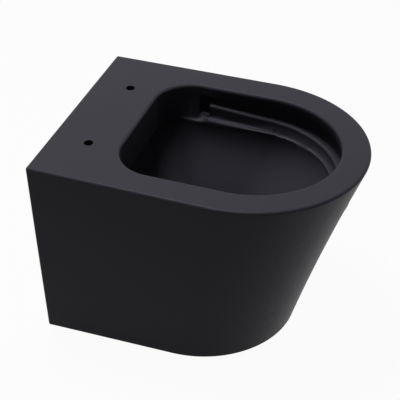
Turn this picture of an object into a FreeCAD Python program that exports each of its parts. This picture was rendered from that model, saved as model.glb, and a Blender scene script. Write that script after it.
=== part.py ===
import FreeCAD, Part
import math
import os
import types
import Sketcher

# Wall hung toilet pan with its fixings and seals, in millimetres.
# X is the width, Y = 0 is the wall face with the front towards -Y, and Z is up.
# The origin is the midpoint of the two wall studs, on the wall face.

DIMENSIONS = [
    # heights of the pan above and below the stud axes
    ("deck_height", 97.0),
    ("base_drop", 240.0),
    ("bend_rise", 84.0),
    # deck outline: a D with a straight rear and a half-oval nose, which is longer than half the
    # width by its stretch
    ("deck_half", 180.0),
    ("deck_rear_half", 178.0),
    ("deck_stretch", 17.0),
    ("deck_length", 485.0),
    # skirt outline at the bend, where the front turns steeper
    ("bend_half", 162.5),
    ("bend_rear_half", 166.0),
    ("bend_stretch", 9.5),
    ("bend_length", 404.0),
    # skirt outline at the base
    ("base_half", 156.5),
    ("base_rear_half", 161.5),
    ("base_stretch", 7.5),
    ("base_length", 381.0),
    # wall face, ground flat
    ("wall_trim", 0.5),
    # clay thicknesses
    ("skirt_wall", 12.0),
    ("rear_wall", 14.0),
    ("deck_thickness", 18.0),
    ("bowl_wall", 10.0),
    ("web_thickness", 12.0),
    # rounded edges
    ("upright_round", 4.0),
    ("deck_round", 4.0),
    ("base_round", 3.0),
    ("lip_round", 5.0),
    ("ledge_round", 4.0),
    # mouth of the bowl in the deck
    ("mouth_rear", 113.0),
    ("mouth_corner", 62.0),
    ("mouth_half", 131.5),
    ("mouth_stretch", 10.0),
    ("mouth_front", 438.5),
    # undercut below the lip, and the two ledges that carry the flush round the bowl
    ("undercut", 10.0),
    ("upper_ledge_reach", 4.0),
    ("upper_ledge_depth", 41.0),
    ("upper_ledge_slope", 4.0),
    ("lower_ledge_reach", 12.0),
    ("lower_ledge_depth", 61.5),
    ("lower_ledge_slope", 2.5),
    ("rim_wall", 11.0),
    ("rim_depth", 76.0),
    # flush box behind the mouth
    ("box_depth", 62.0),
    ("box_end", 168.0),
    ("box_wall", 7.0),
    ("box_floor", 8.0),
    ("channel_width", 22.0),
    ("channel_half", 144.0),
    ("channel_corner", 70.0),
    ("outlet_gap", 19.0),
    ("slot_half", 35.0),
    ("slot_width", 7.0),
    # plenum between the inlet and the flush box
    ("plenum_half", 38.0),
    ("plenum_length", 26.0),
    ("plenum_wall", 8.0),
    ("plenum_drop", 32.0),
    # bowl at five levels under the deck
    ("recess_rear", 97.0),
    ("shelf_level", 108.0),
    ("shelf_half", 109.0),
    ("shelf_rear", 104.0),
    ("shelf_stretch", 8.0),
    ("shelf_front", 402.0),
    ("shelf_corner", 45.0),
    ("floor_level", 150.0),
    ("floor_half", 81.0),
    ("floor_rear", 122.0),
    ("floor_stretch", 7.0),
    ("floor_front", 350.0),
    ("floor_corner", 38.0),
    ("sump_level", 205.0),
    ("sump_half", 47.0),
    ("sump_rear", 178.0),
    ("sump_stretch", 5.0),
    ("sump_front", 294.0),
    ("sump_corner", 34.0),
    ("well_level", 236.0),
    ("well_half", 29.0),
    ("well_stretch", 2.5),
    ("well_corner", 25.0),
    # trapway
    ("trap_lead", 12.0),
    ("trap_bore", 28.0),
    ("trap_wall", 9.0),
    ("trap_setback", 235.0),
    ("trap_ground", 20.0),
    ("trap_bend", 45.0),
    ("trap_weir", 132.0),
    ("trap_crest_setback", 77.0),
    ("trap_crest_bend", 40.0),
    # wall connections
    ("outlet_drop", 100.0),
    ("outlet_outer", 51.0),
    ("outlet_bore", 42.5),
    ("outlet_bore_length", 40.0),
    ("outlet_length", 42.0),
    ("outlet_recess", 3.0),
    ("outlet_opening", 68.0),
    ("inlet_rise", 35.0),
    ("inlet_bore", 27.5),
    ("inlet_wall", 10.0),
    ("stud_spacing", 180.0),
    ("stud_hole", 11.0),
    ("stud_boss", 32.0),
    ("stud_boss_length", 34.0),
    # seat fixing holes
    ("seat_hole", 7.5),
    ("seat_hole_spacing", 170.0),
    ("seat_hole_setback", 62.5),
    # studs and what clamps the pan on them
    ("stud_radius", 6.0),
    ("stud_anchorage", 30.0),
    ("stud_reach", 60.0),
    ("stud_chamfer", 1.0),
    ("shank_radius", 5.4),
    ("shank_length", 24.0),
    ("sleeve_fit", 0.1),
    ("thread_fit", 0.05),
    ("washer_gap", 0.5),
    ("plastic_washer", 18.0),
    ("plastic_washer_thickness", 3.0),
    ("steel_washer", 14.0),
    ("steel_washer_thickness", 2.5),
    ("nut_flats", 19.0),
    ("nut_height", 10.0),
    ("cap_fit", 0.1),
    ("cap_wall", 2.0),
    ("cap_air", 3.0),
    ("cap_round", 6.0),
    # seal and flow divider in the inlet
    ("flush_pipe", 22.5),
    ("seal_fit", 0.1),
    ("seal_rib", 1.2),
    ("seal_length", 40.0),
    ("seal_rib_length", 3.0),
    ("divider_wall", 2.5),
    ("vane_spread", 30.0),
    ("vane_half_height", 18.0),
    ("vane_gap", 2.0),
]


class Size:
    """A named dimension or a formula on such dimensions, together with its value."""

    def __init__(self, formula, value):
        self.formula = formula
        self.value = value

    def __add__(self, other):
        other = as_size(other)
        return Size(f"({self.formula} + {other.formula})", self.value + other.value)

    def __sub__(self, other):
        other = as_size(other)
        return Size(f"({self.formula} - {other.formula})", self.value - other.value)

    def __mul__(self, other):
        other = as_size(other)
        return Size(f"({self.formula} * {other.formula})", self.value * other.value)

    def __truediv__(self, other):
        other = as_size(other)
        return Size(f"({self.formula} / {other.formula})", self.value / other.value)

    def __neg__(self):
        return Size(f"(-{self.formula})", -self.value)


def as_size(number):
    return number if isinstance(number, Size) else Size(str(number), number)


def tangent(angle):
    """Tangent of an angle in degrees."""
    return Size(f"tan({angle.formula} * 1 deg)", math.tan(math.radians(angle.value)))


def make_sheet(document):
    sheet = document.addObject("Spreadsheet::Sheet", "Sizes")
    for row, (alias, value) in enumerate(DIMENSIONS, start=1):
        sheet.set(f"A{row}", alias)
        sheet.set(f"B{row}", str(value))
        sheet.setAlias(f"B{row}", alias)
    document.recompute()
    return types.SimpleNamespace(**{alias: Size(f"Sizes.{alias}", value) for alias, value in DIMENSIONS})


# ---------------------------------------------------------------- bodies and sketches

def new_body(document, label):
    body = document.addObject("PartDesign::Body", "Body_" + label)
    body.Label = label
    return body


def origin_plane(body, role):
    return next(f for f in body.Origin.OriginFeatures if f.Role == role)


def new_sketch(body, name, role, offset=None, tilt=None):
    """A sketch on one of the body's own planes, moved along its normal and tilted about its X."""
    sketch = body.newObject("Sketcher::SketchObject", name)
    sketch.AttachmentSupport = [(origin_plane(body, role), "")]
    sketch.MapMode = "FlatFace"
    height = offset.value if offset else 0.0
    angle = tilt.value if tilt else 0.0
    sketch.AttachmentOffset = FreeCAD.Placement(
        FreeCAD.Vector(0, 0, height), FreeCAD.Rotation(FreeCAD.Vector(1, 0, 0), angle))
    if offset:
        sketch.setExpression(".AttachmentOffset.Base.z", offset.formula)
    if tilt:
        sketch.setExpression(".AttachmentOffset.Rotation.Angle", tilt.formula)
    return sketch


def hold(sketch, size, kind, *where):
    """Add a dimension to a sketch and bind it to its size."""
    index = sketch.addConstraint(Sketcher.Constraint(kind, *where, size.value))
    sketch.setExpression(f"Constraints[{index}]", size.formula)


def point(x, y):
    return FreeCAD.Vector(x, y, 0)


def arc(centre, radius, start, end):
    """An arc that runs counter-clockwise between two points."""
    first = math.atan2(start.y - centre.y, start.x - centre.x)
    last = math.atan2(end.y - centre.y, end.x - centre.x)
    circle = Part.Circle(centre, FreeCAD.Vector(0, 0, 1), radius)
    return Part.ArcOfCircle(circle, first, last if last > first else last + 2 * math.pi)


START, END, CENTRE = range(1, 4)
AXIS = -1
UPRIGHT = -2
NEAR = 0.01


def hold_x(sketch, size, geometry, end):
    """Hold a point on the positive X side at a distance from the sketch's origin."""
    hold(sketch, size, "DistanceX", AXIS, START, geometry, end)


def hold_below(sketch, size, geometry, end):
    """Hold a point at a distance on the negative Y side of the sketch's origin."""
    hold(sketch, size, "DistanceY", geometry, end, AXIS, START)


# ---------------------------------------------------------------- D-shaped outlines

def outline(rear, rear_half, half, stretch, front, corner=None):
    """A D seen from above: rear and front are distances from the wall, and the half-oval nose is
    longer than half the width by its stretch. With a corner radius the rear corners are rounded."""
    return types.SimpleNamespace(
        rear=rear, rear_half=rear_half, half=half, stretch=stretch, nose=half + stretch,
        front=front, corner=corner)


def grown(shape, by):
    """The same D moved outwards all round."""
    return outline(
        shape.rear - by, shape.rear_half + by, shape.half + by, shape.stretch, shape.front + by,
        shape.corner + by if shape.corner else None)


def draw_outline(sketch, shape):
    """Draw a D counter-clockwise from its rear line, fully dimensioned."""
    half = shape.half.value
    rear_half = shape.rear_half.value
    rear = -shape.rear.value if shape.rear else 0.0
    front = -shape.front.value
    widest = front + shape.nose.value
    corner = shape.corner.value if shape.corner else 0.0
    inner = rear_half - corner
    bend = rear - corner
    left_corner = []
    right_corner = []
    if shape.corner:
        left_corner = [arc(point(-inner, bend), corner, point(-inner, rear), point(-rear_half, bend))]
        right_corner = [arc(point(inner, bend), corner, point(rear_half, bend), point(inner, rear))]
    oval = Part.Ellipse(point(0, front), point(half, widest), point(0, widest))
    edges = [Part.LineSegment(point(inner, rear), point(-inner, rear))]
    edges += left_corner
    edges += [Part.LineSegment(point(-rear_half, bend), point(-half, widest))]
    edges += [Part.ArcOfEllipse(oval, -math.pi / 2, math.pi / 2)]
    edges += [Part.LineSegment(point(half, widest), point(rear_half, bend))]
    edges += right_corner
    sketch.addGeometry(edges, False)

    count = len(edges)
    rear_line = 0
    nose = 2 + len(left_corner)
    right_side = nose + 1
    for edge in range(count):
        following = (edge + 1) % count
        sharp = not shape.corner and rear_line in (edge, following)
        kind = "Coincident" if sharp else "Tangent"
        sketch.addConstraint(Sketcher.Constraint(kind, edge, END, following, START))
    sketch.exposeInternalGeometry(nose)
    long_axis, short_axis = count, count + 1
    sketch.addConstraint(Sketcher.Constraint("Symmetric", rear_line, START, rear_line, END, UPRIGHT))
    sketch.addConstraint(Sketcher.Constraint("PointOnObject", nose, CENTRE, UPRIGHT))
    sketch.addConstraint(Sketcher.Constraint("Vertical", long_axis))
    hold(sketch, shape.nose * 2, "Distance", long_axis)
    hold(sketch, shape.half * 2, "Distance", short_axis)
    hold_below(sketch, shape.front - shape.nose, nose, CENTRE)
    if shape.rear:
        hold_below(sketch, shape.rear, rear_line, START)
    else:
        sketch.addConstraint(Sketcher.Constraint("PointOnObject", rear_line, START, AXIS))
    if shape.corner:
        sketch.addConstraint(Sketcher.Constraint("Equal", rear_line + 1, right_side + 1))
        hold(sketch, shape.corner, "Radius", right_side + 1)
    hold_x(sketch, shape.rear_half, right_side, END)


def level_outline(body, name, shape, height, tilt=None):
    """A D in a level or tilted plane at a height."""
    sketch = new_sketch(body, name, "XY_Plane", height, tilt)
    draw_outline(sketch, shape)
    return sketch


# ---------------------------------------------------------------- features

def loft(body, kind, name, sketches):
    feature = body.newObject(kind, name)
    feature.Profile = sketches[0]
    feature.Sections = sketches[1:]
    feature.Ruled = False
    feature.Refine = False
    return feature


def extrude(body, kind, name, sketch, length, towards_normal=True, midplane=False):
    """A pad or pocket of a sketch along its own normal, or against it."""
    feature = body.newObject(kind, name)
    feature.Profile = sketch
    feature.setExpression("Length", length.formula)
    feature.Length = length.value
    feature.Midplane = midplane
    feature.Reversed = towards_normal == (kind == "PartDesign::Pocket")
    feature.Refine = False
    return feature


def round_edges(body, name, base, edges, radius):
    feature = body.newObject("PartDesign::Fillet", name)
    feature.Base = (base, edges)
    feature.Radius = radius.value
    feature.setExpression("Radius", radius.formula)
    feature.Refine = False
    return feature


def edges_where(shape, test):
    """Names of the edges whose every end and middle pass a test."""
    names = []
    for index, edge in enumerate(shape.Edges, start=1):
        middle = edge.valueAt((edge.FirstParameter + edge.LastParameter) / 2)
        places = [vertex.Point for vertex in edge.Vertexes] + [middle]
        if all(test(place) for place in places):
            names.append(f"Edge{index}")
    return names


def draw_circle(sketch, radius, x=None, y=None):
    """A dimensioned circle; x and y place its centre, and None leaves it on that axis."""
    centre = point(x.value if x else 0, y.value if y else 0)
    index = sketch.addGeometry(Part.Circle(centre, FreeCAD.Vector(0, 0, 1), radius.value), False)
    hold(sketch, radius, "Radius", index)
    if x:
        hold(sketch, x, "DistanceX", AXIS, START, index, CENTRE)
    else:
        sketch.addConstraint(Sketcher.Constraint("PointOnObject", index, CENTRE, UPRIGHT))
    if y:
        hold(sketch, y, "DistanceY", AXIS, START, index, CENTRE)
    else:
        sketch.addConstraint(Sketcher.Constraint("PointOnObject", index, CENTRE, AXIS))
    return index


def draw_polygon(sketch, places):
    """A polygon with every corner dimensioned from the sketch's axes; None leaves it on an axis."""
    corners = [point(x.value if x else 0, y.value if y else 0) for x, y in places]
    first = sketch.GeometryCount
    sketch.addGeometry([Part.LineSegment(a, b) for a, b in zip(corners, corners[1:] + corners[:1])], False)
    for index, (x, y) in enumerate(places):
        edge = first + index
        following = first + (index + 1) % len(places)
        sketch.addConstraint(Sketcher.Constraint("Coincident", edge, END, following, START))
        for size, kind, line in ((x, "DistanceX", UPRIGHT), (y, "DistanceY", AXIS)):
            if size:
                hold(sketch, size, kind, AXIS, START, edge, START)
            else:
                sketch.addConstraint(Sketcher.Constraint("PointOnObject", edge, START, line))


def draw_box(sketch, left, right, low, high):
    """A dimensioned rectangle between four signed distances from the sketch's axes."""
    draw_polygon(sketch, [(left, low), (right, low), (right, high), (left, high)])


# ---------------------------------------------------------------- the ceramic pan

def skirt_outlines(s, rear, inward=None):
    """The D of the skirt at the deck, at the bend and at the base, or the same moved inwards."""
    shapes = []
    for half, rear_half, stretch, length in (
            (s.deck_half, s.deck_rear_half, s.deck_stretch, s.deck_length),
            (s.bend_half, s.bend_rear_half, s.bend_stretch, s.bend_length),
            (s.base_half, s.base_rear_half, s.base_stretch, s.base_length)):
        if inward:
            half, rear_half, length = (size - inward for size in (half, rear_half, length))
        shapes.append(outline(rear, rear_half, half, stretch, length, s.upright_round))
    return shapes


def stacked(body, name, shapes, heights):
    """Level outlines above each other, from the highest down."""
    return [
        level_outline(body, f"{name}{index}", shape, height)
        for index, (shape, height) in enumerate(zip(shapes, heights), start=1)]


def add_outer_form(s, body):
    """The outside form: a flat deck, a front that leans outwards, and a wall face ground flat."""
    heights = (s.deck_height, s.bend_rise - s.base_drop, -s.base_drop)
    sketches = stacked(body, "SkirtOutline", skirt_outlines(s, -s.wall_trim), heights)
    form = loft(body, "PartDesign::AdditiveLoft", "OuterForm", sketches)
    for name, radius, height in (
            ("DeckRound", s.deck_round, heights[0]), ("BaseRound", s.base_round, heights[-1])):
        body.Document.recompute()
        rim = edges_where(form.Shape, lambda place: abs(place.z - height.value) < NEAR)
        form = round_edges(body, name, form, rim, radius)
    sketch = new_sketch(body, "WallFaceOutline", "XZ_Plane")
    draw_box(sketch, -s.deck_half, s.deck_half, -s.base_drop, s.deck_height)
    extrude(body, "PartDesign::Pocket", "WallFace", sketch, s.wall_trim, False)


def cut_underside(s, body):
    """The open underside, which leaves the skirt, the rear wall and the deck."""
    heights = (s.deck_height - s.deck_thickness, s.bend_rise - s.base_drop, -s.base_drop)
    sketches = stacked(body, "HollowOutline", skirt_outlines(s, s.rear_wall, s.skirt_wall), heights)
    loft(body, "PartDesign::SubtractiveLoft", "Underside", sketches)


def mouth_outline(s):
    return outline(
        s.mouth_rear, s.mouth_half, s.mouth_half, s.mouth_stretch, s.mouth_front, s.mouth_corner)


def with_rear(shape, rear):
    return outline(rear, shape.rear_half, shape.half, shape.stretch, shape.front, shape.corner)


def bowl_outlines(s):
    """The D of the bowl at five levels, from the lower ledge to the well that leads to the trap."""
    rim = with_rear(grown(mouth_outline(s), -s.lower_ledge_reach), s.recess_rear)
    shelf = outline(
        s.shelf_rear, s.shelf_half, s.shelf_half, s.shelf_stretch, s.shelf_front, s.shelf_corner)
    floor = outline(
        s.floor_rear, s.floor_half, s.floor_half, s.floor_stretch, s.floor_front, s.floor_corner)
    sump = outline(
        s.sump_rear, s.sump_half, s.sump_half, s.sump_stretch, s.sump_front, s.sump_corner)
    well = outline(
        s.trap_setback - s.well_half, s.well_half, s.well_half, s.well_stretch,
        s.trap_setback + s.well_half, s.well_corner)
    return [rim, shelf, floor, sump, well]


def bowl_heights(s):
    depths = (s.box_depth, s.shelf_level, s.floor_level, s.sump_level, s.well_level)
    return [s.deck_height - depth for depth in depths]


def add_bowl_shell(s, body):
    """Clay for the rim, the flush box and the bowl, still solid."""
    block = grown(mouth_outline(s), s.undercut + s.rim_wall)
    block = with_rear(block, s.mouth_rear - s.box_wall - s.channel_width - s.plenum_wall)
    sketch = level_outline(body, "RimBlockOutline", block, s.deck_height - s.deck_thickness)
    extrude(body, "PartDesign::Pad", "RimBlock", sketch, s.rim_depth - s.deck_thickness, False)
    shapes = [grown(shape, s.bowl_wall) for shape in bowl_outlines(s)]
    sketches = stacked(body, "BowlOuter", shapes, bowl_heights(s))
    loft(body, "PartDesign::AdditiveLoft", "BowlShell", sketches)


def draw_trap_route(s, sketch):
    """The trapway's centre line in the middle plane: down from the well, round the lowest bend,
    up to the crest, and in an S down to the outlet's height."""
    top = s.deck_height - s.well_level + s.trap_lead
    bend_z = s.trap_ground + s.trap_bore + s.trap_bend - s.base_drop
    crest_z = s.trap_weir + s.trap_bore - s.trap_crest_bend - s.base_drop
    last_z = s.trap_crest_bend - s.outlet_drop
    bend_y = s.trap_setback - s.trap_bend

    low, high = s.trap_bend.value, s.trap_crest_bend.value
    bend = point(-bend_y.value, bend_z.value)
    crest = point(-s.trap_crest_setback.value, crest_z.value)
    between = crest - bend
    heading = math.atan2(between.y, between.x) + math.asin((low + high) / between.Length)
    across = point(math.sin(heading), -math.cos(heading))
    fall = math.acos((last_z.value - crest.y) / (2 * high))
    last = crest + point(2 * high * math.sin(fall), 2 * high * math.cos(fall))
    halfway = (crest + last) / 2
    start = point(-s.trap_setback.value, bend.y)
    route = [
        Part.LineSegment(point(start.x, top.value), start),
        arc(bend, low, start, bend + across * low),
        Part.LineSegment(bend + across * low, crest - across * high),
        arc(crest, high, halfway, crest - across * high),
        arc(last, high, halfway, last - point(0, high))]
    sketch.addGeometry(route, False)
    down, bend, rise, crest, last = range(len(route))
    for edge, end, following, begin in (
            (down, END, bend, START), (bend, END, rise, START), (rise, END, crest, END),
            (crest, START, last, START)):
        sketch.addConstraint(Sketcher.Constraint("Tangent", edge, end, following, begin))
    sketch.addConstraint(Sketcher.Constraint("Vertical", down))
    sketch.addConstraint(Sketcher.Constraint("Vertical", last, END, last, CENTRE))
    sketch.addConstraint(Sketcher.Constraint("Equal", crest, last))
    hold(sketch, top, "DistanceY", AXIS, START, down, START)
    hold(sketch, s.trap_bend, "Radius", bend)
    hold(sketch, s.trap_crest_bend, "Radius", crest)
    hold(sketch, -bend_y, "DistanceX", AXIS, START, bend, CENTRE)
    hold(sketch, bend_z, "DistanceY", AXIS, START, bend, CENTRE)
    hold(sketch, -s.trap_crest_setback, "DistanceX", AXIS, START, crest, CENTRE)
    hold(sketch, crest_z, "DistanceY", AXIS, START, crest, CENTRE)
    hold(sketch, last_z, "DistanceY", AXIS, START, last, CENTRE)


def sweep_trap(s, body, kind, name, radius):
    """A round tube or passage along the trapway."""
    route = new_sketch(body, name + "Route", "YZ_Plane")
    draw_trap_route(s, route)
    top = s.deck_height - s.well_level + s.trap_lead
    section = new_sketch(body, name + "Section", "XY_Plane", top)
    draw_circle(section, radius, None, -s.trap_setback)
    sweep = body.newObject(kind, name)
    sweep.Profile = section
    sweep.Spine = (route, [])
    sweep.Refine = False


def plan_box(body, name, height, half, rear, front):
    """A rectangle seen from above, centred on the width, between two distances from the wall."""
    sketch = new_sketch(body, name, "XY_Plane", height)
    draw_box(sketch, -half, half, -front, -rear)
    return sketch


def rear_discs(body, name, setback, radius, half_spacing, height):
    """One circle, or a pair of them, parallel to the wall face."""
    sketch = new_sketch(body, name, "XZ_Plane", setback)
    for x in (half_spacing, -half_spacing) if half_spacing else (None,):
        draw_circle(sketch, radius, x, height)
    return sketch


def add_waterway_clay(s, body):
    """Clay around the plenum, the trapway, the horns and the studs, still solid."""
    opening = rear_discs(body, "OutletOpeningCircle", None, s.outlet_opening, None, -s.outlet_drop)
    extrude(body, "PartDesign::Pocket", "OutletOpening", opening, s.rear_wall + s.outlet_recess)
    below_deck = s.deck_height - s.deck_thickness
    plenum_front = s.mouth_rear - s.box_wall - s.channel_width
    plenum_rear = plenum_front - s.plenum_length
    sketch = plan_box(
        body, "PlenumBlockOutline", below_deck, s.plenum_half + s.plenum_wall,
        plenum_rear - s.plenum_wall, s.shelf_rear)
    height = below_deck - s.inlet_rise + s.plenum_drop + s.plenum_wall
    extrude(body, "PartDesign::Pad", "PlenumBlock", sketch, height, False)
    sweep_trap(s, body, "PartDesign::AdditivePipe", "TrapTube", s.trap_bore + s.trap_wall)
    web = new_sketch(body, "TrapWebOutline", "YZ_Plane")
    crest = s.trap_weir + s.trap_bore - s.base_drop
    draw_box(
        web, -s.mouth_rear, -s.outlet_recess - s.outlet_length, crest, s.inlet_rise - s.plenum_drop)
    extrude(body, "PartDesign::Pad", "TrapWeb", web, s.web_thickness, midplane=True)
    spigot = rear_discs(body, "SpigotCircle", s.outlet_recess, s.outlet_outer, None, -s.outlet_drop)
    extrude(body, "PartDesign::Pad", "Spigot", spigot, s.outlet_length)
    horn = rear_discs(body, "InletHornCircle", None, s.inlet_bore + s.inlet_wall, None, s.inlet_rise)
    extrude(body, "PartDesign::Pad", "InletHorn", horn, plenum_rear)
    bosses = rear_discs(body, "StudBossCircles", None, s.stud_boss, s.stud_spacing / 2, None)
    extrude(body, "PartDesign::Pad", "StudBosses", bosses, s.stud_boss_length)


def draw_bay(sketch, rear, half, corner, front):
    """A bay seen from above: a rectangle with its two rear corners rounded."""
    low, high, side = -front.value, -rear.value, half.value
    bend = corner.value
    left, right = point(bend - side, high - bend), point(side - bend, high - bend)
    places = [
        point(right.x, high), point(left.x, high), point(-side, left.y), point(-side, low),
        point(side, low), point(side, right.y)]
    sketch.addGeometry([
        Part.LineSegment(places[0], places[1]), arc(left, bend, places[1], places[2]),
        Part.LineSegment(places[2], places[3]), Part.LineSegment(places[3], places[4]),
        Part.LineSegment(places[4], places[5]), arc(right, bend, places[5], places[0])], False)
    top, left_bend, left_side, bottom, right_side, right_bend = range(6)
    for edge, following in (
            (top, left_bend), (left_bend, left_side), (right_side, right_bend), (right_bend, top)):
        sketch.addConstraint(Sketcher.Constraint("Tangent", edge, END, following, START))
    for edge, following in ((left_side, bottom), (bottom, right_side)):
        sketch.addConstraint(Sketcher.Constraint("Coincident", edge, END, following, START))
    sketch.addConstraint(Sketcher.Constraint("Horizontal", bottom))
    sketch.addConstraint(Sketcher.Constraint("Vertical", left_side))
    sketch.addConstraint(Sketcher.Constraint("Vertical", right_side))
    sketch.addConstraint(Sketcher.Constraint("Symmetric", top, START, top, END, UPRIGHT))
    sketch.addConstraint(Sketcher.Constraint("Equal", left_bend, right_bend))
    hold(sketch, corner, "Radius", right_bend)
    hold_x(sketch, half, right_side, START)
    hold_below(sketch, rear, top, START)
    hold_below(sketch, front, bottom, START)


def bay(body, name, height, rear, half, corner, front):
    sketch = new_sketch(body, name, "XY_Plane", height)
    draw_bay(sketch, rear, half, corner, front)
    return sketch


def cut_flush_box(s, body):
    """The U-shaped channel behind the box wall, its outlets at both ends, its slot and plenum."""
    below_deck = s.deck_height - s.deck_thickness
    channel_rear = s.mouth_rear - s.box_wall - s.channel_width
    floor_drop = s.box_depth - s.box_floor - s.deck_thickness
    gap_end = s.box_end + s.outlet_gap
    channel = bay(
        body, "ChannelOutline", below_deck, channel_rear, s.channel_half, s.channel_corner, gap_end)
    extrude(body, "PartDesign::Pocket", "Channel", channel, floor_drop, False)
    core = level_outline(body, "BoxWallOutline", grown(mouth_outline(s), s.box_wall), below_deck)
    extrude(body, "PartDesign::Pad", "BoxWall", core, s.box_depth - s.deck_thickness, False)
    gap = plan_box(body, "OutletGapOutline", below_deck, s.channel_half, s.box_end, gap_end)
    extrude(body, "PartDesign::Pocket", "OutletGap", gap, floor_drop, False)
    slot = plan_box(
        body, "SlotOutline", below_deck - floor_drop, s.slot_half,
        s.mouth_rear - s.box_wall - s.slot_width, s.mouth_rear - s.box_wall)
    extrude(body, "PartDesign::Pocket", "Slot", slot, s.box_floor + s.lip_round, False)
    plenum = plan_box(
        body, "PlenumOutline", below_deck, s.plenum_half, channel_rear - s.plenum_length,
        channel_rear + s.slot_width)
    extrude(
        body, "PartDesign::Pocket", "Plenum", plenum, below_deck - s.inlet_rise + s.plenum_drop, False)


def ledge_plane(s, depth, slope):
    """Height, at the wall, of a plane that passes the mouth's widest point at a depth."""
    return s.deck_height - depth + (s.mouth_front - s.mouth_half - s.mouth_stretch) * tangent(slope)


def cut_mouth(s, body):
    """The mouth, the undercut below its lip and the two ledges."""
    mouth = mouth_outline(s)
    below_deck = s.deck_height - s.deck_thickness
    upper = ledge_plane(s, s.upper_ledge_depth, s.upper_ledge_slope)
    lower = ledge_plane(s, s.lower_ledge_depth, s.lower_ledge_slope)
    wide = grown(mouth, s.undercut)
    wide = outline(s.box_end, wide.rear_half, wide.half, wide.stretch, wide.front)
    loft(body, "PartDesign::SubtractiveLoft", "Undercut", [
        level_outline(body, "UndercutTop", wide, below_deck),
        level_outline(body, "UndercutBase", wide, upper, s.upper_ledge_slope)])
    rear_bay = bay(
        body, "RearMouthOutline", s.deck_height, s.mouth_rear, s.mouth_half, s.mouth_corner,
        s.box_end + s.outlet_gap)
    extrude(body, "PartDesign::Pocket", "RearMouth", rear_bay, s.box_depth, False)
    sketch = level_outline(body, "MouthOutline", mouth, s.deck_height)
    extrude(body, "PartDesign::Pocket", "Mouth", sketch, s.deck_thickness + s.lip_round, False)
    chute = with_rear(grown(mouth, -s.upper_ledge_reach), s.mouth_rear)
    loft(body, "PartDesign::SubtractiveLoft", "Chute", [
        level_outline(body, "ChuteTop", chute, below_deck),
        level_outline(body, "ChuteBase", chute, lower, s.lower_ledge_slope)])
    inner = grown(mouth, -s.lower_ledge_reach)
    inner = outline(s.box_end, inner.rear_half, inner.half, inner.stretch, inner.front)
    throat = level_outline(body, "ThroatOutline", inner, s.deck_height - s.box_depth)
    extrude(body, "PartDesign::Pocket", "Throat", throat, s.box_depth - s.upper_ledge_depth)


def cut_bowl(s, body):
    sketches = stacked(body, "BowlInner", bowl_outlines(s), bowl_heights(s))
    loft(body, "PartDesign::SubtractiveLoft", "Bowl", sketches)
    sweep_trap(s, body, "PartDesign::SubtractivePipe", "Trapway", s.trap_bore)


def cut_connections(s, body):
    """The bores of the outlet and inlet, and the holes for the studs and the seat."""
    outlet = rear_discs(body, "OutletBoreCircle", None, s.outlet_bore, None, -s.outlet_drop)
    extrude(
        body, "PartDesign::Pocket", "OutletBore", outlet, s.outlet_recess + s.outlet_bore_length)
    inlet = rear_discs(body, "InletBoreCircle", None, s.inlet_bore, None, s.inlet_rise)
    plenum_rear = s.mouth_rear - s.box_wall - s.channel_width - s.plenum_length
    extrude(body, "PartDesign::Pocket", "InletBore", inlet, plenum_rear + s.plenum_wall)
    studs = rear_discs(body, "StudHoleCircles", None, s.stud_hole, s.stud_spacing / 2, None)
    extrude(body, "PartDesign::Pocket", "StudHoles", studs, s.stud_boss_length)
    seat = new_sketch(body, "SeatHoleCircles", "XY_Plane", s.deck_height)
    for x in (s.seat_hole_spacing / 2, -s.seat_hole_spacing / 2):
        draw_circle(seat, s.seat_hole, x, -s.seat_hole_setback)
    extrude(body, "PartDesign::Pocket", "SeatHoles", seat, s.deck_thickness, False)


def round_ledge(s, body):
    """The soft edge of the upper ledge, where the flush runs over it into the bowl."""
    height = ledge_plane(s, s.upper_ledge_depth, s.upper_ledge_slope).value
    lean = tangent(s.upper_ledge_slope).value
    rim = grown(mouth_outline(s), -s.upper_ledge_reach)

    def on_rim(place):
        level = abs(place.z - height - lean * place.y) < NEAR
        inside = abs(place.x) < rim.half.value + NEAR and -place.y < rim.front.value + NEAR
        return level and inside and -place.y > s.box_end.value + NEAR

    body.Document.recompute()
    round_edges(body, "LedgeRound", body.Tip, edges_where(body.Tip.Shape, on_rim), s.ledge_round)


def round_lip(s, body):
    """The rounded lip of the mouth, in the deck."""
    body.Document.recompute()
    lip = edges_where(
        body.Tip.Shape,
        lambda place: abs(place.z - s.deck_height.value) < NEAR
        and abs(place.x) < s.mouth_half.value + NEAR
        and s.mouth_rear.value - NEAR < -place.y < s.mouth_front.value + NEAR)
    round_edges(body, "LipRound", body.Tip, lip, s.lip_round)


def make_pan(s, document):
    body = new_body(document, "pan_body")
    add_outer_form(s, body)
    cut_underside(s, body)
    add_bowl_shell(s, body)
    add_waterway_clay(s, body)
    cut_flush_box(s, body)
    cut_mouth(s, body)
    cut_bowl(s, body)
    cut_connections(s, body)
    round_ledge(s, body)
    round_lip(s, body)
    return body


# ---------------------------------------------------------------- fixings behind the skirt

def stud_rings(body, name, outer, inner, setback, length, s):
    """A ring, or a rod, round each of the two stud axes."""
    sketch = rear_discs(body, name + "Circles", setback, outer, s.stud_spacing / 2, None)
    if inner:
        for x in (s.stud_spacing / 2, -s.stud_spacing / 2):
            draw_circle(sketch, inner, x)
    return extrude(body, "PartDesign::Pad", name, sketch, length)


def end_edges(shape, setback):
    """Edges in the plane parallel to the wall at a distance in front of it."""
    return edges_where(shape, lambda place: abs(place.y + setback.value) < NEAR)


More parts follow.
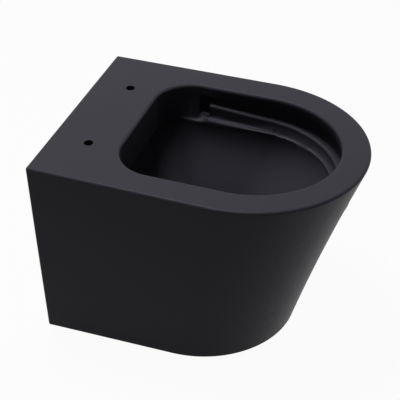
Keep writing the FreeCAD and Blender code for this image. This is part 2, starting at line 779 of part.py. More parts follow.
def make_wall_studs(s, document):
    """Double-ended studs: a thread in the wall, a thinner plain shank, and a thread for the nut."""
    body = new_body(document, "wall_studs")
    stud_rings(body, "WallThreads", s.stud_radius, None, -s.stud_anchorage, s.stud_anchorage, s)
    stud_rings(body, "Shanks", s.shank_radius, None, None, s.shank_length, s)
    rods = stud_rings(
        body, "NutThreads", s.stud_radius, None, s.shank_length, s.stud_reach - s.shank_length, s)
    document.recompute()
    chamfer = body.newObject("PartDesign::Chamfer", "ThreadChamfers")
    chamfer.Base = (rods, end_edges(rods.Shape, s.stud_reach) + end_edges(rods.Shape, -s.stud_anchorage))
    chamfer.Size = s.stud_chamfer.value
    chamfer.setExpression("Size", s.stud_chamfer.formula)
    return body


def make_stud_sleeves(s, document):
    body = new_body(document, "stud_sleeves")
    stud_rings(
        body, "Sleeves", s.stud_hole - s.sleeve_fit, s.stud_radius + s.sleeve_fit, None,
        s.stud_boss_length, s)
    return body


def make_plastic_washers(s, document):
    body = new_body(document, "plastic_washers")
    stud_rings(
        body, "PlasticWashers", s.plastic_washer, s.stud_radius + s.washer_gap, s.stud_boss_length,
        s.plastic_washer_thickness, s)
    return body


def make_steel_washers(s, document):
    body = new_body(document, "steel_washers")
    stud_rings(
        body, "SteelWashers", s.steel_washer, s.stud_radius + s.washer_gap,
        s.stud_boss_length + s.plastic_washer_thickness, s.steel_washer_thickness, s)
    return body


def nut_seat(s):
    return s.stud_boss_length + s.plastic_washer_thickness + s.steel_washer_thickness


def nut_corner(s):
    """Radius over the corners of a nut."""
    return Size(f"({s.nut_flats.formula} / sqrt(3))", s.nut_flats.value / math.sqrt(3))


def make_stud_nuts(s, document):
    body = new_body(document, "stud_nuts")
    sketch = new_sketch(body, "NutOutlines", "XZ_Plane", nut_seat(s))
    corner = nut_corner(s)
    flat = s.nut_flats / 2
    for x in (s.stud_spacing / 2, -s.stud_spacing / 2):
        draw_polygon(sketch, [
            (x, corner), (x - flat, corner / 2), (x - flat, -corner / 2), (x, -corner),
            (x + flat, -corner / 2), (x + flat, corner / 2)])
        draw_circle(sketch, s.stud_radius + s.thread_fit, x)
    extrude(body, "PartDesign::Pad", "Nuts", sketch, s.nut_height)
    return body


def make_nut_caps(s, document):
    body = new_body(document, "nut_caps")
    hollow = nut_corner(s) + s.cap_fit
    cap_end = s.stud_reach + s.cap_air + s.cap_wall
    domes = stud_rings(
        body, "CapDomes", hollow + s.cap_wall, None, nut_seat(s), cap_end - nut_seat(s), s)
    document.recompute()
    ends = end_edges(domes.Shape, cap_end)
    round_edges(body, "CapRounds", domes, ends, s.cap_round)
    sketch = rear_discs(body, "CapHollowCircles", nut_seat(s), hollow, s.stud_spacing / 2, None)
    extrude(body, "PartDesign::Pocket", "CapHollows", sketch, s.stud_reach + s.cap_air - nut_seat(s))
    return body


# ---------------------------------------------------------------- flush inlet

def inlet_ring(body, name, outer, inner, setback, length, s):
    sketch = rear_discs(body, name + "Circles", setback, outer, None, s.inlet_rise)
    draw_circle(sketch, inner, None, s.inlet_rise)
    extrude(body, "PartDesign::Pad", name, sketch, length)


def make_inlet_seal(s, document):
    """Rubber sleeve round the flush pipe, with ribs that meet the bore."""
    body = new_body(document, "inlet_seal")
    outer = s.inlet_bore - s.seal_fit
    inner = s.flush_pipe + s.seal_fit
    inlet_ring(body, "SealSkin", outer - s.seal_rib, inner, None, s.seal_length, s)
    step = (s.seal_length - s.seal_rib_length) / 3
    for index in range(4):
        setback = step * index if index else None
        inlet_ring(body, f"SealRib{index + 1}", outer, inner, setback, s.seal_rib_length, s)
    return body


def make_flow_divider(s, document):
    """Plastic collar behind the seal, with a web and a V of two vanes that split the flush."""
    body = new_body(document, "flow_divider")
    outer = s.inlet_bore - s.seal_fit
    inner = outer - s.divider_wall
    plenum_rear = s.mouth_rear - s.box_wall - s.channel_width - s.plenum_length
    inlet_ring(body, "Collar", outer, inner, s.seal_length, plenum_rear - s.seal_length, s)
    apex = plenum_rear + s.divider_wall
    web = new_sketch(body, "WebOutline", "YZ_Plane")
    reach = inner + s.divider_wall / 2
    draw_box(web, -apex, -s.seal_length, s.inlet_rise - reach, s.inlet_rise + reach)
    extrude(body, "PartDesign::Pad", "Web", web, s.divider_wall, midplane=True)
    vanes = new_sketch(body, "VaneOutline", "XY_Plane", s.inlet_rise - s.vane_half_height)
    tip = plenum_rear + s.plenum_length - s.vane_gap
    draw_polygon(vanes, [
        (None, -plenum_rear), (-s.vane_spread, -tip), (s.divider_wall - s.vane_spread, -tip),
        (None, -apex - s.divider_wall), (s.vane_spread - s.divider_wall, -tip),
        (s.vane_spread, -tip)])
    extrude(body, "PartDesign::Pad", "Vanes", vanes, s.vane_half_height * 2)
    return body


# ---------------------------------------------------------------- the assembly

def faulty(item):
    """Why a document object can't be handed on, or nothing."""
    if {"Invalid", "Error"} & set(item.State):
        return f"{item.Name}: {item.State}"
    if item.isDerivedFrom("Part::Feature") and item.isDerivedFrom("PartDesign::Feature"):
        if item.Shape.isNull() or not item.Shape.isValid():
            return f"{item.Name}: bad shape"
    return None


def main():
    document = FreeCAD.newDocument("WallHungToilet")
    s = make_sheet(document)
    bodies = [make(s, document) for make in (
        make_pan, make_wall_studs, make_stud_sleeves, make_plastic_washers, make_steel_washers,
        make_stud_nuts, make_nut_caps, make_inlet_seal, make_flow_divider)]
    document.recompute()
    faults = [fault for fault in map(faulty, document.Objects) if fault]
    for body in bodies:
        if body.Shape.isNull() or not body.Shape.isValid() or body.Shape.Volume <= 0:
            faults.append(f"{body.Label}: bad shape")
    if faults:
        raise RuntimeError("; ".join(faults))
    os.makedirs("parts", exist_ok=True)
    for body in bodies:
        body.Shape.exportStep(f"parts/{body.Label}.step")


main()
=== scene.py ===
import math

import bpy
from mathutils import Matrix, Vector


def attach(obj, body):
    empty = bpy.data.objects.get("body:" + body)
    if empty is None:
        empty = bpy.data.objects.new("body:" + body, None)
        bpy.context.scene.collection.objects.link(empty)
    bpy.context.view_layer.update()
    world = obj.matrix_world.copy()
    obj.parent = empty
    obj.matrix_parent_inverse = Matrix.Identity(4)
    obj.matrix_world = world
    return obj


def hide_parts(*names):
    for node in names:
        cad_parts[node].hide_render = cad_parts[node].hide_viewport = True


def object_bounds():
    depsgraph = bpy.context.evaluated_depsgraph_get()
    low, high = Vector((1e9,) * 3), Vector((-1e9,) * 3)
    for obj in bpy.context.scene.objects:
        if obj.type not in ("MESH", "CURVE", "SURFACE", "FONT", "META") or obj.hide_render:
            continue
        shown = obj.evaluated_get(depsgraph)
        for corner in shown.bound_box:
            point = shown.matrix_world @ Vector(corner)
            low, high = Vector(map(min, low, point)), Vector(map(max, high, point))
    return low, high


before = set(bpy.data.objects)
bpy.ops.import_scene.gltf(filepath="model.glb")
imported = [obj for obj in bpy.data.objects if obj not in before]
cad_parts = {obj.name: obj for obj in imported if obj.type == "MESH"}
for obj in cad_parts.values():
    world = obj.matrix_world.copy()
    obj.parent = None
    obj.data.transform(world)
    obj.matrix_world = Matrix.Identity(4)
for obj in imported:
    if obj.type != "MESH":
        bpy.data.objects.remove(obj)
cad_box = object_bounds()
FLOOR_HEIGHT = cad_box[0][2]

# The object's sizes are in millimetres, and MM turns them into the frame's metres.
# A setback is a distance in front of the wall face. Heights are above the axes of the studs.
MM = 0.001


# ---------------------------------------------------------------- shader maths

MIX_FACTOR, MIX_FIRST, MIX_SECOND = 0, 6, 7
MIX_RESULT = 2


class Socket:
    """A value in a node tree. Operators on it add the Math nodes that they stand for."""

    def __init__(self, shading, link):
        self.shading = shading
        self.link = link

    def __add__(self, other):
        return self.shading.maths("ADD", self, other)

    def __radd__(self, other):
        return self.shading.maths("ADD", other, self)

    def __sub__(self, other):
        return self.shading.maths("SUBTRACT", self, other)

    def __rsub__(self, other):
        return self.shading.maths("SUBTRACT", other, self)

    def __mul__(self, other):
        return self.shading.maths("MULTIPLY", self, other)

    def __rmul__(self, other):
        return self.shading.maths("MULTIPLY", other, self)


class Node:
    def __init__(self, shading, node):
        self.shading = shading
        self.node = node

    def out(self, name):
        return Socket(self.shading, self.node.outputs[name])


class Shading:
    """The node tree of a material or of the world, which ends in one output."""

    def __init__(self, owner, output):
        self.owner = owner
        self.owner.use_nodes = True
        self.tree = self.owner.node_tree
        self.tree.nodes.clear()
        self.output = self.node(output, {}, {})

    def node(self, kind, settings, values):
        """Add a node, set it, and give its sockets their values or links."""
        made = self.tree.nodes.new(kind)
        for key, value in settings.items():
            setattr(made, key, value)
        for key, value in values.items():
            self.feed(made.inputs[key], value)
        return Node(self, made)

    def feed(self, socket, value):
        if isinstance(value, Socket):
            self.tree.links.new(value.link, socket)
        else:
            socket.default_value = value

    def surface(self, shader):
        self.feed(self.output.node.inputs["Surface"], shader)

    def maths(self, operation, *values):
        return self.node(
            "ShaderNodeMath", {"operation": operation}, dict(enumerate(values))).out("Value")

    def above(self, value, limit):
        """1 where a value is above a limit, and 0 elsewhere."""
        return self.maths("GREATER_THAN", value, limit)

    def top(self, first, second):
        """The larger of two values."""
        return self.maths("MAXIMUM", first, second)

    def background_rays(self):
        """1 for the rays that show a background: to the camera, off metal and through glass."""
        rays = self.node("ShaderNodeLightPath", {}, {})
        seen = self.top(rays.out("Is Camera Ray"), rays.out("Is Glossy Ray"))
        return self.top(seen, rays.out("Is Transmission Ray"))

    def blend(self, factor, first, second):
        """A shader between two others."""
        return self.node("ShaderNodeMixShader", {}, {0: factor, 1: first, 2: second}).out("Shader")


class Material(Shading):
    """A material of the object or of the stage, with patterns on Object coordinates."""

    def __init__(self, name):
        super().__init__(bpy.data.materials.new(name), "ShaderNodeOutputMaterial")

    def place(self):
        return self.node("ShaderNodeTexCoord", {}, {}).out("Object")

    def axes(self):
        parts = self.node("ShaderNodeSeparateXYZ", {}, {"Vector": self.place()})
        return [parts.out(axis) for axis in "XYZ"]

    def noise(self, scale, detail=2.0, roughness=0.5):
        return self.node(
            "ShaderNodeTexNoise", {},
            {"Vector": self.place(), "Scale": scale, "Detail": detail, "Roughness": roughness}
        ).out("Fac")

    def mix(self, factor, first, second):
        """A colour between two. A Mix node repeats its sockets' names, so numbers find them."""
        return self.node(
            "ShaderNodeMix", {"data_type": "RGBA"},
            {MIX_FACTOR: factor, MIX_FIRST: first, MIX_SECOND: second}).out(MIX_RESULT)

    def bump(self, height, distance, strength=1.0):
        return self.node(
            "ShaderNodeBump", {}, {"Height": height, "Distance": distance, "Strength": strength}
        ).out("Normal")

    def principled(self, **values):
        """Show one principled shader, and give back the finished material."""
        values = {key.replace("_", " "): value for key, value in values.items()}
        self.surface(self.node("ShaderNodeBsdfPrincipled", {}, values).out("BSDF"))
        return self.owner


# ---------------------------------------------------------------- materials of the object

GLAZE_DARK = (0.0258, 0.0247, 0.0318, 1)
GLAZE_LIGHT = (0.0288, 0.0276, 0.0352, 1)
GLAZE_ROUGHNESS = 0.38
GLAZE_SPECULAR = 0.06
GLAZE_RIPPLE = 0.3
CLAY_DARK = (0.50, 0.47, 0.42, 1)
CLAY_LIGHT = (0.64, 0.61, 0.56, 1)
CLAY_ROUGHNESS = 0.85
ZINC_DARK = (0.50, 0.50, 0.48, 1)
ZINC_LIGHT = (0.68, 0.68, 0.66, 1)
RUBBER_DARK = (0.018, 0.018, 0.018, 1)
RUBBER_LIGHT = (0.032, 0.032, 0.032, 1)
RUBBER_GRAIN = 0.08
PLASTIC_WHITES = ((0.74, 0.74, 0.71, 1), (0.82, 0.82, 0.80, 1))
PLASTIC_GREYS = ((0.28, 0.29, 0.30, 1), (0.34, 0.35, 0.36, 1))
PLASTIC_GRAIN = 0.05

# Where the clay is bare: this near to the wall face and the foot, and on the end of the outlet.
BARE_DEPTH = 0.4
OUTLET_DROP = 100.0
OUTLET_END_RADIUS = 51.5
OUTLET_END_SETBACK = 3.4


def matt_black_glaze():
    """Black ceramic with a matt glaze, and bare clay where it was ground or stood in the kiln."""
    material = Material("matt_black_glaze")
    drift = material.noise(9.0)
    grain = material.noise(2600.0, detail=3.0, roughness=0.6)
    wave = material.noise(34.0)
    speck = material.noise(420.0, detail=3.0, roughness=0.6)
    x, y, z = material.axes()
    wall_face = material.above(y, -BARE_DEPTH * MM)
    foot = material.above(FLOOR_HEIGHT + BARE_DEPTH * MM, z)
    from_outlet = z + OUTLET_DROP * MM
    in_outlet = material.above((OUTLET_END_RADIUS * MM) ** 2, x * x + from_outlet * from_outlet)
    outlet_end = in_outlet * material.above(y, -OUTLET_END_SETBACK * MM)
    bare = material.top(material.top(wall_face, foot), outlet_end)
    glaze = material.mix(drift, GLAZE_DARK, GLAZE_LIGHT)
    clay = material.mix(speck, CLAY_DARK, CLAY_LIGHT)
    glaze_roughness = GLAZE_ROUGHNESS + 0.05 * drift + 0.04 * grain
    return material.principled(
        Base_Color=material.mix(bare, glaze, clay),
        Roughness=glaze_roughness * (1 - bare) + CLAY_ROUGHNESS * bare,
        Specular_IOR_Level=GLAZE_SPECULAR,
        Normal=material.bump(grain * 0.05 + wave, GLAZE_RIPPLE * MM, strength=0.5))


def zinc_plate():
    material = Material("zinc_plate")
    patch = material.noise(220.0, detail=4.0, roughness=0.6)
    return material.principled(
        Base_Color=material.mix(patch, ZINC_DARK, ZINC_LIGHT), Metallic=1.0,
        Roughness=0.28 + 0.2 * patch)


def moulded_plastic(name, dark, light):
    material = Material(name)
    drift = material.noise(60.0)
    grain = material.noise(3000.0)
    return material.principled(
        Base_Color=material.mix(drift, dark, light), Roughness=0.42 + 0.08 * drift,
        Normal=material.bump(grain, PLASTIC_GRAIN * MM))


def black_rubber():
    material = Material("black_rubber")
    drift = material.noise(80.0, detail=3.0)
    grain = material.noise(2200.0)
    return material.principled(
        Base_Color=material.mix(drift, RUBBER_DARK, RUBBER_LIGHT), Roughness=0.62 + 0.15 * drift,
        Normal=material.bump(grain, RUBBER_GRAIN * MM))


# ---------------------------------------------------------------- modelling by hand

TURNING_STEPS = 64
ROUNDING_STEPS = 3
WELD = 0.004 * MM
SLIVER_WELD = 5 * WELD
SHADE_ANGLE = 35


def clear_selection():
    bpy.ops.object.select_all(action="DESELECT")


def take(piece):
    """Make one piece the only one selected and active."""
    clear_selection()
    piece.select_set(True)
    bpy.context.view_layer.objects.active = piece


def edit(piece):
    take(piece)
    bpy.ops.object.mode_set(mode="EDIT")
    bpy.ops.mesh.select_all(action="SELECT")


def leave():
    bpy.ops.object.mode_set(mode="OBJECT")


def name_and_settle(name):
    """Name the active piece and write its place into its mesh."""
    piece = bpy.context.object
    piece.name = name
    bpy.ops.object.transform_apply(location=True, rotation=True, scale=True)
    return piece


def tidy_skin(piece):
    """Merge doubles and point every face outwards."""
    edit(piece)
    bpy.ops.mesh.remove_doubles(threshold=WELD)
    bpy.ops.mesh.normals_make_consistent(inside=False)
    leave()


def smooth(piece, angle=SHADE_ANGLE):
    """Shade a piece smooth, but for the edges that turn by more than an angle in degrees."""
    take(piece)
    bpy.ops.object.shade_smooth_by_angle(angle=math.radians(angle))


def modify(piece, kind, **settings):
    """Add a modifier, set it and apply it."""
    take(piece)
    modifier = piece.modifiers.new(kind.lower(), kind)
    for key, value in settings.items():
        setattr(modifier, key, value)
    bpy.ops.object.modifier_apply(modifier=modifier.name)


def drawn_line(name, places):
    """A line drawn by extruding one corner from place to place."""
    clear_selection()
    bpy.ops.mesh.primitive_plane_add(size=MM, location=places[0])
    edit(bpy.context.object)
    bpy.ops.mesh.merge(type="CENTER")
    for place, following in zip(places, places[1:]):
        step = Vector(following) - Vector(place)
        bpy.ops.mesh.extrude_region_move(TRANSFORM_OT_translate={"value": step})
    leave()
    return name_and_settle(name)


def turned(name, profile, x=0.0, z=0.0, closed=True):
    """A piece turned about an axis across the wall, from pairs of setback and radius."""
    loop = profile + profile[:1] if closed else profile
    places = [((x + radius) * MM, -setback * MM, z * MM) for setback, radius in loop]
    piece = drawn_line(name, places)
    edit(piece)
    bpy.ops.mesh.remove_doubles(threshold=WELD)
    bpy.ops.mesh.select_all(action="SELECT")
    bpy.ops.mesh.spin(
        steps=TURNING_STEPS, angle=2 * math.pi, center=(x * MM, 0, z * MM), axis=(0, 1, 0))
    leave()
    tidy_skin(piece)
    return piece


def softened(corners, radius):
    """A closed profile with every corner rounded."""
    points = []
    for index, corner in enumerate(corners):
        corner = Vector(corner)
        before = Vector(corners[index - 1]) - corner
        after = Vector(corners[(index + 1) % len(corners)]) - corner
        start = corner + before.normalized() * min(radius, before.length / 2)
        end = corner + after.normalized() * min(radius, after.length / 2)
        for step in range(ROUNDING_STEPS + 1):
            share = step / ROUNDING_STEPS
            place = start.lerp(corner, share).lerp(corner.lerp(end, share), share)
            points.append((place.x, place.y))
    return points


def ring_profile(near, far, inner, outer):
    return [(near, inner), (near, outer), (far, outer), (far, inner)]


def cut(piece, tool, operation):
    """Cut a piece with a tool, or keep what both share, and delete the tool."""
    modify(piece, "BOOLEAN", operation=operation, object=tool, solver="EXACT")
    bpy.data.objects.remove(tool)


def whole_of(piece):
    """Weld a cut piece and keep its largest body, without the slivers of the cut."""
    edit(piece)
    bpy.ops.mesh.remove_doubles(threshold=SLIVER_WELD)
    bpy.ops.mesh.separate(type="LOOSE")
    leave()
    bodies = sorted(bpy.context.selected_objects, key=lambda body: len(body.data.polygons))
    for sliver in bodies[:-1]:
        bpy.data.objects.remove(sliver)
    return bodies[-1]


def one_of(name, pieces):
    """Join pieces into one."""
    take(pieces[0])
    for piece in pieces[1:]:
        piece.select_set(True)
    bpy.ops.object.join()
    piece = bpy.context.object
    piece.name = name
    return piece


def finish_piece(piece, material, node):
    """Give a piece its material, and let it stand for its node of the frame."""
    piece.data.materials.clear()
    piece.data.materials.append(material)
    smooth(piece)
    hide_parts(node)
    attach(piece, "root")


# ---------------------------------------------------------------- fixings

# studs: threaded at both ends, with a plain shank between
STUD_X = 90.0
STUD_RADIUS = 6.0
STUD_CORE = 4.95
STUD_BACK = -30.0
STUD_FRONT = 60.0
STUD_CHAMFER = 1.0
THREAD_PITCH = 1.75
THREAD_STEPS = 28
SHANK_RADIUS = 5.4
SHANK_END = 24.0
SHANK_CHAMFER = 0.4
SHANK_OVERLAP = 0.3
# what a thread is wound and cut too long by, and the rod that chamfers it made too wide by
SPARE_TURNS = 2
THREAD_SPARE = 0.4
CHAMFER_SPARE = 0.2

# what is clamped on each stud, from the boss of the pan to the nut
PLASTIC_WASHER = 3.0
STEEL_WASHER = 2.5
NUT_HEIGHT = 10.0
BOSS_FACE = 34.0
PLASTIC_FACE = BOSS_FACE + PLASTIC_WASHER
STEEL_FACE = PLASTIC_FACE + STEEL_WASHER
NUT_FACE = STEEL_FACE + NUT_HEIGHT
SLEEVE_BORE = 6.1
SLEEVE_RADIUS = 10.9
SLEEVE_EDGE = 0.6
WASHER_HOLE = 6.5
PLASTIC_WASHER_RADIUS = 18.0
PLASTIC_WASHER_EDGE = 0.8
STEEL_WASHER_RADIUS = 14.0
STEEL_WASHER_EDGE = 0.5
NUT_FLATS = 19.0
NUT_CORNER = NUT_FLATS / math.sqrt(3)
NUT_HOLE = 6.05
NUT_MOUTH = 0.7
# the cone that turns the nut's corners off: its slope, and its mouth as a share of the flats
NUT_CONE_SLOPE = 30
NUT_CONE_SHARE = 0.96
# how far the shapes that cut a nut run past its corners, its faces and its bore
NUT_CONE_SPARE = 0.3
FACE_SPARE = 0.02
BORE_SPARE = 1.0

# caps: a push fit over the nut's corners, with air in front of the stud
CAP_FIT = 0.1
CAP_WALL = 2.0
CAP_AIR = 3.0
CAP_INSIDE = NUT_CORNER + CAP_FIT
CAP_OUTSIDE = CAP_INSIDE + CAP_WALL
CAP_ROOF = STUD_FRONT + CAP_AIR
CAP_END = CAP_ROOF + CAP_WALL
CAP_ROUND = 6.0
CAP_ROUND_STEP = 10
CAP_MOUTH_CHAMFER = 0.5
CAP_RIM_CHAMFER = 0.4
# the inner corner of the cap, as steps back from the roof and in from the wall
CAP_CORNER = [(0.0, 1.2), (0.6, 0.3), (1.4, 0.0)]
GROOVE_PLACE = 2.6
GROOVE_HALF_WIDTH = 0.3
GROOVE_DEPTH = 0.35


def pair_of(name, piece):
    """The same piece at both studs."""
    take(piece)
    bpy.ops.object.duplicate(linked=False)
    bpy.ops.transform.translate(value=(-2 * STUD_X * MM, 0, 0))
    bpy.ops.object.transform_apply(location=True, rotation=True, scale=True)
    return one_of(name, [piece, bpy.context.object])


def screw_thread(near, far):
    """A threaded length of rod about the stud axis, a little long and cut square at both ends."""
    flat = THREAD_PITCH / 8
    flank = THREAD_PITCH * 3 / 8
    profile = [(0, STUD_CORE), (flat, STUD_CORE), (flat + flank, STUD_RADIUS),
               (2 * flat + flank, STUD_RADIUS), (THREAD_PITCH, STUD_CORE)]
    thread = drawn_line("thread", [(radius * MM, -along * MM, 0) for along, radius in profile])
    turns = math.ceil((far - near) / THREAD_PITCH) + 2 * SPARE_TURNS
    modify(
        thread, "SCREW", axis="Y", screw_offset=-THREAD_PITCH * MM, iterations=turns,
        steps=THREAD_STEPS, render_steps=THREAD_STEPS, use_merge_vertices=True,
        merge_threshold=WELD)
    edit(thread)
    bpy.ops.transform.translate(value=(STUD_X * MM, -(near - SPARE_TURNS * THREAD_PITCH) * MM, 0))
    bpy.ops.mesh.remove_doubles(threshold=WELD)
    for setback, inner in ((near - THREAD_SPARE, False), (far + THREAD_SPARE, True)):
        bpy.ops.mesh.select_all(action="SELECT")
        bpy.ops.mesh.bisect(
            plane_co=(STUD_X * MM, -setback * MM, 0), plane_no=(0, -1, 0), use_fill=True,
            clear_inner=not inner, clear_outer=inner)
    leave()
    tidy_skin(thread)
    return thread


def chamfered_rod(near, far):
    """What the chamfers at both ends of a thread leave."""
    end = STUD_RADIUS - STUD_CHAMFER
    wide = STUD_RADIUS + CHAMFER_SPARE
    fall = STUD_CHAMFER + CHAMFER_SPARE
    return turned(
        "chamfers", [(near, 0), (near, end), (near + fall, wide), (far - fall, wide), (far, end),
                     (far, 0)], STUD_X)


def build_studs(material):
    threads = []
    for near, far in ((STUD_BACK, 0.0), (SHANK_END, STUD_FRONT)):
        thread = screw_thread(near, far)
        cut(thread, chamfered_rod(near, far), "INTERSECT")
        threads.append(whole_of(thread))
    near, far = -SHANK_OVERLAP, SHANK_END + SHANK_OVERLAP
    end = SHANK_RADIUS - SHANK_CHAMFER
    shank = turned(
        "shank", [(near, 0), (near, end), (SHANK_OVERLAP, SHANK_RADIUS),
                  (SHANK_END - SHANK_OVERLAP, SHANK_RADIUS), (far, end), (far, 0)], STUD_X)
    stud = one_of("stud", threads + [shank])
    finish_piece(pair_of("threaded_studs", stud), material, "wall_studs")


def build_nuts(material):
    """Nuts with both faces turned to a cone, and the thread's mouth opened at both ends."""
    clear_selection()
    bpy.ops.mesh.primitive_cylinder_add(
        vertices=6, radius=NUT_CORNER * MM, depth=NUT_HEIGHT * MM,
        location=(STUD_X * MM, -(STEEL_FACE + NUT_FACE) / 2 * MM, 0), rotation=(math.pi / 2, 0, 0))
    nut = name_and_settle("nut")
    near, far = STEEL_FACE - FACE_SPARE, NUT_FACE + FACE_SPARE
    face = NUT_FLATS / 2 * NUT_CONE_SHARE
    wide = NUT_CORNER + NUT_CONE_SPARE
    fall = (wide - face) * math.tan(math.radians(NUT_CONE_SLOPE))
    cone = turned(
        "cone", [(near, 0), (near, face), (near + fall, wide), (far - fall, wide), (far, face),
                 (far, 0)], STUD_X)
    cut(nut, cone, "INTERSECT")
    start, stop = near - BORE_SPARE, far + BORE_SPARE
    mouth = NUT_HOLE + NUT_MOUTH + BORE_SPARE
    bore = turned(
        "bore", [(start, 0), (start, mouth), (near + NUT_MOUTH, NUT_HOLE),
                 (far - NUT_MOUTH, NUT_HOLE), (stop, mouth), (stop, 0)], STUD_X)
    cut(nut, bore, "DIFFERENCE")
    finish_piece(pair_of("hexagon_nuts", nut), material, "stud_nuts")


def build_rings(name, profile, edge, material, node):
    """Washers or sleeves on both studs, with soft edges."""
    ring = turned("ring", softened(profile, edge), STUD_X)
    finish_piece(pair_of(name, ring), material, node)


def build_caps(material):
    """Push-on covers with a rounded end and a groove near the mouth."""
    inside = [(CAP_ROOF - back, CAP_INSIDE - step) for back, step in CAP_CORNER]
    mouth = [(STEEL_FACE + CAP_MOUTH_CHAMFER, CAP_INSIDE),
             (STEEL_FACE, CAP_INSIDE + CAP_MOUTH_CHAMFER),
             (STEEL_FACE, CAP_OUTSIDE - CAP_MOUTH_CHAMFER),
             (STEEL_FACE + CAP_RIM_CHAMFER, CAP_OUTSIDE)]
    middle = STEEL_FACE + GROOVE_PLACE + GROOVE_HALF_WIDTH
    groove = [(middle - GROOVE_HALF_WIDTH, CAP_OUTSIDE), (middle, CAP_OUTSIDE - GROOVE_DEPTH),
              (middle + GROOVE_HALF_WIDTH, CAP_OUTSIDE)]
    angles = [math.radians(angle) for angle in range(0, 91, CAP_ROUND_STEP)]
    rounded = [(CAP_END - CAP_ROUND + CAP_ROUND * math.sin(angle),
                CAP_OUTSIDE - CAP_ROUND + CAP_ROUND * math.cos(angle)) for angle in angles]
    shell = [(CAP_ROOF, 0)] + inside + mouth + groove + rounded + [(CAP_END, 0)]
    cap = turned("cap", shell, STUD_X, closed=False)
    finish_piece(pair_of("push_on_caps", cap), material, "nut_caps")


def build_fixings(zinc, white_plastic):
    build_studs(zinc)
    build_nuts(zinc)
    build_rings(
        "rolled_washers", ring_profile(PLASTIC_FACE, STEEL_FACE, WASHER_HOLE, STEEL_WASHER_RADIUS),
        STEEL_WASHER_EDGE, zinc, "steel_washers")
    build_rings(
        "soft_washers", ring_profile(BOSS_FACE, PLASTIC_FACE, WASHER_HOLE, PLASTIC_WASHER_RADIUS),
        PLASTIC_WASHER_EDGE, white_plastic, "plastic_washers")
    build_rings(
        "split_sleeves", ring_profile(0.0, BOSS_FACE, SLEEVE_BORE, SLEEVE_RADIUS),
        SLEEVE_EDGE, white_plastic, "stud_sleeves")
    build_caps(white_plastic)


# ---------------------------------------------------------------- flush inlet

INLET_Z = 35.0
SEAL_OUTER = 27.4
SEAL_SKIN = 26.2
SEAL_INNER = 22.6
SEAL_LENGTH = 40.0
SEAL_CHAMFER = 0.6
SEAL_TAIL = 0.4
LIP_LENGTH = 3.0
LIP_COUNT = 4
LIP_ROOT = 0.3
# one lip, as pairs of distance from its near side and radius: a blunt edge and a long slope back
LIP_PROFILE = [
    (0.0, SEAL_OUTER - 0.7), (0.5, SEAL_OUTER), (1.3, SEAL_OUTER - 0.1),
    (LIP_LENGTH - 0.6, SEAL_SKIN + 0.25), (LIP_LENGTH, SEAL_SKIN)]
COLLAR_INNER = 24.9
COLLAR_END = 58.0
DIVIDER_WALL = 2.5
VANE_SPREAD = 30.0
VANE_END = 82.0
VANE_HALF_HEIGHT = 18.0
MOULDED_EDGE = 0.5
MOULDED_EDGE_STEPS = 3


def build_seal(material):
    """Rubber sleeve whose lips lean back towards the flush pipe's end."""
    profile = [(SEAL_CHAMFER, SEAL_INNER), (0.0, SEAL_INNER + SEAL_CHAMFER)]
    pitch = (SEAL_LENGTH - LIP_LENGTH) / (LIP_COUNT - 1)
    for lip in range(LIP_COUNT):
        near = pitch * lip
        profile += [(near + along, radius) for along, radius in LIP_PROFILE]
        if lip < LIP_COUNT - 1:
            profile += [(near + pitch - LIP_ROOT, SEAL_SKIN)]
    profile += [(SEAL_LENGTH, SEAL_SKIN - SEAL_TAIL), (SEAL_LENGTH, SEAL_INNER + SEAL_CHAMFER),
                (SEAL_LENGTH - SEAL_CHAMFER, SEAL_INNER)]
    seal = turned("lipped_seal", profile, z=INLET_Z)
    finish_piece(seal, material, "inlet_seal")


def upright_web():
    """The plate that halves the collar and reaches into the fold of the vanes."""
    far = COLLAR_END + DIVIDER_WALL
    clear_selection()
    bpy.ops.mesh.primitive_cube_add(
        size=1, location=(0, -(SEAL_LENGTH + far) / 2 * MM, INLET_Z * MM),
        scale=(DIVIDER_WALL * MM, (far - SEAL_LENGTH) * MM,
               (2 * COLLAR_INNER + DIVIDER_WALL) * MM))
    return name_and_settle("web")


def folded_vanes():
    """Two vanes in one piece, folded to a V whose point is level with the collar's end."""
    low = (INLET_Z - VANE_HALF_HEIGHT) * MM
    inner_fold = COLLAR_END + 2 * DIVIDER_WALL
    inner_spread = VANE_SPREAD - DIVIDER_WALL
    corners = [(0, COLLAR_END), (-VANE_SPREAD, VANE_END), (-inner_spread, VANE_END),
               (0, inner_fold), (inner_spread, VANE_END), (VANE_SPREAD, VANE_END),
               (0, COLLAR_END)]
    vanes = drawn_line("vanes", [(x * MM, -setback * MM, low) for x, setback in corners])
    edit(vanes)
    bpy.ops.mesh.remove_doubles(threshold=WELD)
    bpy.ops.mesh.select_all(action="SELECT")
    bpy.ops.mesh.edge_face_add()
    bpy.ops.mesh.extrude_region_move(
        TRANSFORM_OT_translate={"value": (0, 0, 2 * VANE_HALF_HEIGHT * MM)})
    leave()
    tidy_skin(vanes)
    return vanes


def build_divider(material):
    """Collar with a web across it and a V of two vanes, all with soft moulded edges."""
    ring = softened(ring_profile(SEAL_LENGTH, COLLAR_END, COLLAR_INNER, SEAL_OUTER), MOULDED_EDGE)
    collar = turned("collar", ring, z=INLET_Z)
    web = upright_web()
    vanes = folded_vanes()
    for piece in (web, vanes):
        modify(
            piece, "BEVEL", width=MOULDED_EDGE * MM, segments=MOULDED_EDGE_STEPS,
            limit_method="ANGLE")
    divider = one_of("split_vanes", [collar, web, vanes])
    finish_piece(divider, material, "flow_divider")


# ---------------------------------------------------------------- ceramic pan

PAN_SHADE_ANGLE = 20
FLAT_FACE_WEIGHT = 50


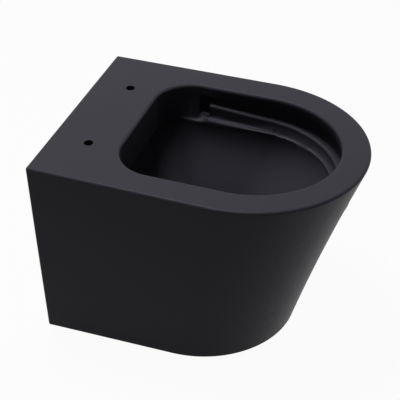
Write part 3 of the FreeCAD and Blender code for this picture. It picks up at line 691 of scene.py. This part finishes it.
def build_pan(material):
    """The glazed casting, with its facets welded and its curves shaded as one skin."""
    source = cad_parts["pan_body"]
    pan = bpy.data.objects.new("glazed_casting", source.data.copy())
    bpy.context.scene.collection.objects.link(pan)
    edit(pan)
    bpy.ops.mesh.remove_doubles(threshold=WELD)
    leave()
    pan.data.materials.clear()
    pan.data.materials.append(material)
    smooth(pan, PAN_SHADE_ANGLE)
    modify(pan, "WEIGHTED_NORMAL", keep_sharp=True, weight=FLAT_FACE_WEIGHT)
    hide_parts("pan_body")
    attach(pan, "root")


white_plastic = moulded_plastic("white_plastic", *PLASTIC_WHITES)
grey_plastic = moulded_plastic("grey_plastic", *PLASTIC_GREYS)
build_pan(matt_black_glaze())
build_fixings(zinc_plate(), white_plastic)
build_seal(black_rubber())
build_divider(grey_plastic)


# ---------------------------------------------------------------- stage, light and camera

# The stage is in metres, the lamps' power in watts and the camera's sensor in millimetres.
WHITE = (1, 1, 1, 1)
FLOOR_GREY = (0.42, 0.42, 0.42, 1)
FLOOR_HALF = 12.0
FLOOR_GAP = 0.0005
SHADOW_SHARE = 0.05
WORLD_STRENGTH = 0.10
LAMP_AIM = (0, -0.24, 0)
TOP_PLACE, TOP_SIZE, TOP_POWER = (0.2, 0.35, 2.35), 1.0, 72
FRONT_PLACE, FRONT_SIZE, FRONT_POWER = (1.1, -2.2, 0.05), 0.9, 4
CAMERA_PLACE = (-1.336, -0.685, 1.050)
CAMERA_AIM = (-0.00016, -0.21475, -0.03676)
SENSOR_WIDTH = 36.0
FOCAL_PIXELS = 1090.0
IMAGE_PIXELS = 400.0


def white_ground():
    """Pale floor that looks white and keeps a faint shadow."""
    material = Material("white_ground")
    diffuse = material.node("ShaderNodeBsdfDiffuse", {}, {"Color": FLOOR_GREY}).out("BSDF")
    glow = material.node(
        "ShaderNodeEmission", {}, {"Color": WHITE, "Strength": 1.0}).out("Emission")
    glow_share = material.background_rays() * (1 - SHADOW_SHARE)
    material.surface(material.blend(glow_share, diffuse, glow))
    return material.owner


def build_floor():
    clear_selection()
    bpy.ops.mesh.primitive_plane_add(size=2 * FLOOR_HALF, location=(0, 0, FLOOR_HEIGHT - FLOOR_GAP))
    floor = bpy.context.object
    floor.name = "floor"
    floor.data.materials.append(white_ground())


def white_world():
    """A world that lights the object dimly and looks white."""
    world = Shading(bpy.data.worlds.new("studio"), "ShaderNodeOutputWorld")
    light, backdrop = [
        world.node(
            "ShaderNodeBackground", {}, {"Color": WHITE, "Strength": strength}).out("Background")
        for strength in (WORLD_STRENGTH, 1.0)]
    world.surface(world.blend(world.background_rays(), light, backdrop))
    bpy.context.scene.world = world.owner


def set_up(name, data, place, aim):
    """Put a lamp or the camera in its place, pointing at its aim."""
    item = bpy.data.objects.new(name, data)
    item.location = place
    item.rotation_euler = (Vector(aim) - item.location).to_track_quat("-Z", "Y").to_euler()
    bpy.context.scene.collection.objects.link(item)
    return item


def soft_light(name, place, size, power):
    """A square area lamp that points at the object."""
    lamp = bpy.data.lights.new(name, "AREA")
    lamp.size = size
    lamp.energy = power
    set_up(name, lamp, place, LAMP_AIM)


def place_camera():
    data = bpy.data.cameras.new("camera")
    data.sensor_width = SENSOR_WIDTH
    data.lens = SENSOR_WIDTH * FOCAL_PIXELS / IMAGE_PIXELS
    bpy.context.scene.camera = set_up("camera", data, CAMERA_PLACE, CAMERA_AIM)


build_floor()
white_world()
soft_light("top_softbox", TOP_PLACE, TOP_SIZE, TOP_POWER)
soft_light("front_softbox", FRONT_PLACE, FRONT_SIZE, FRONT_POWER)
place_camera()
bpy.context.scene.view_settings.view_transform = "Standard"
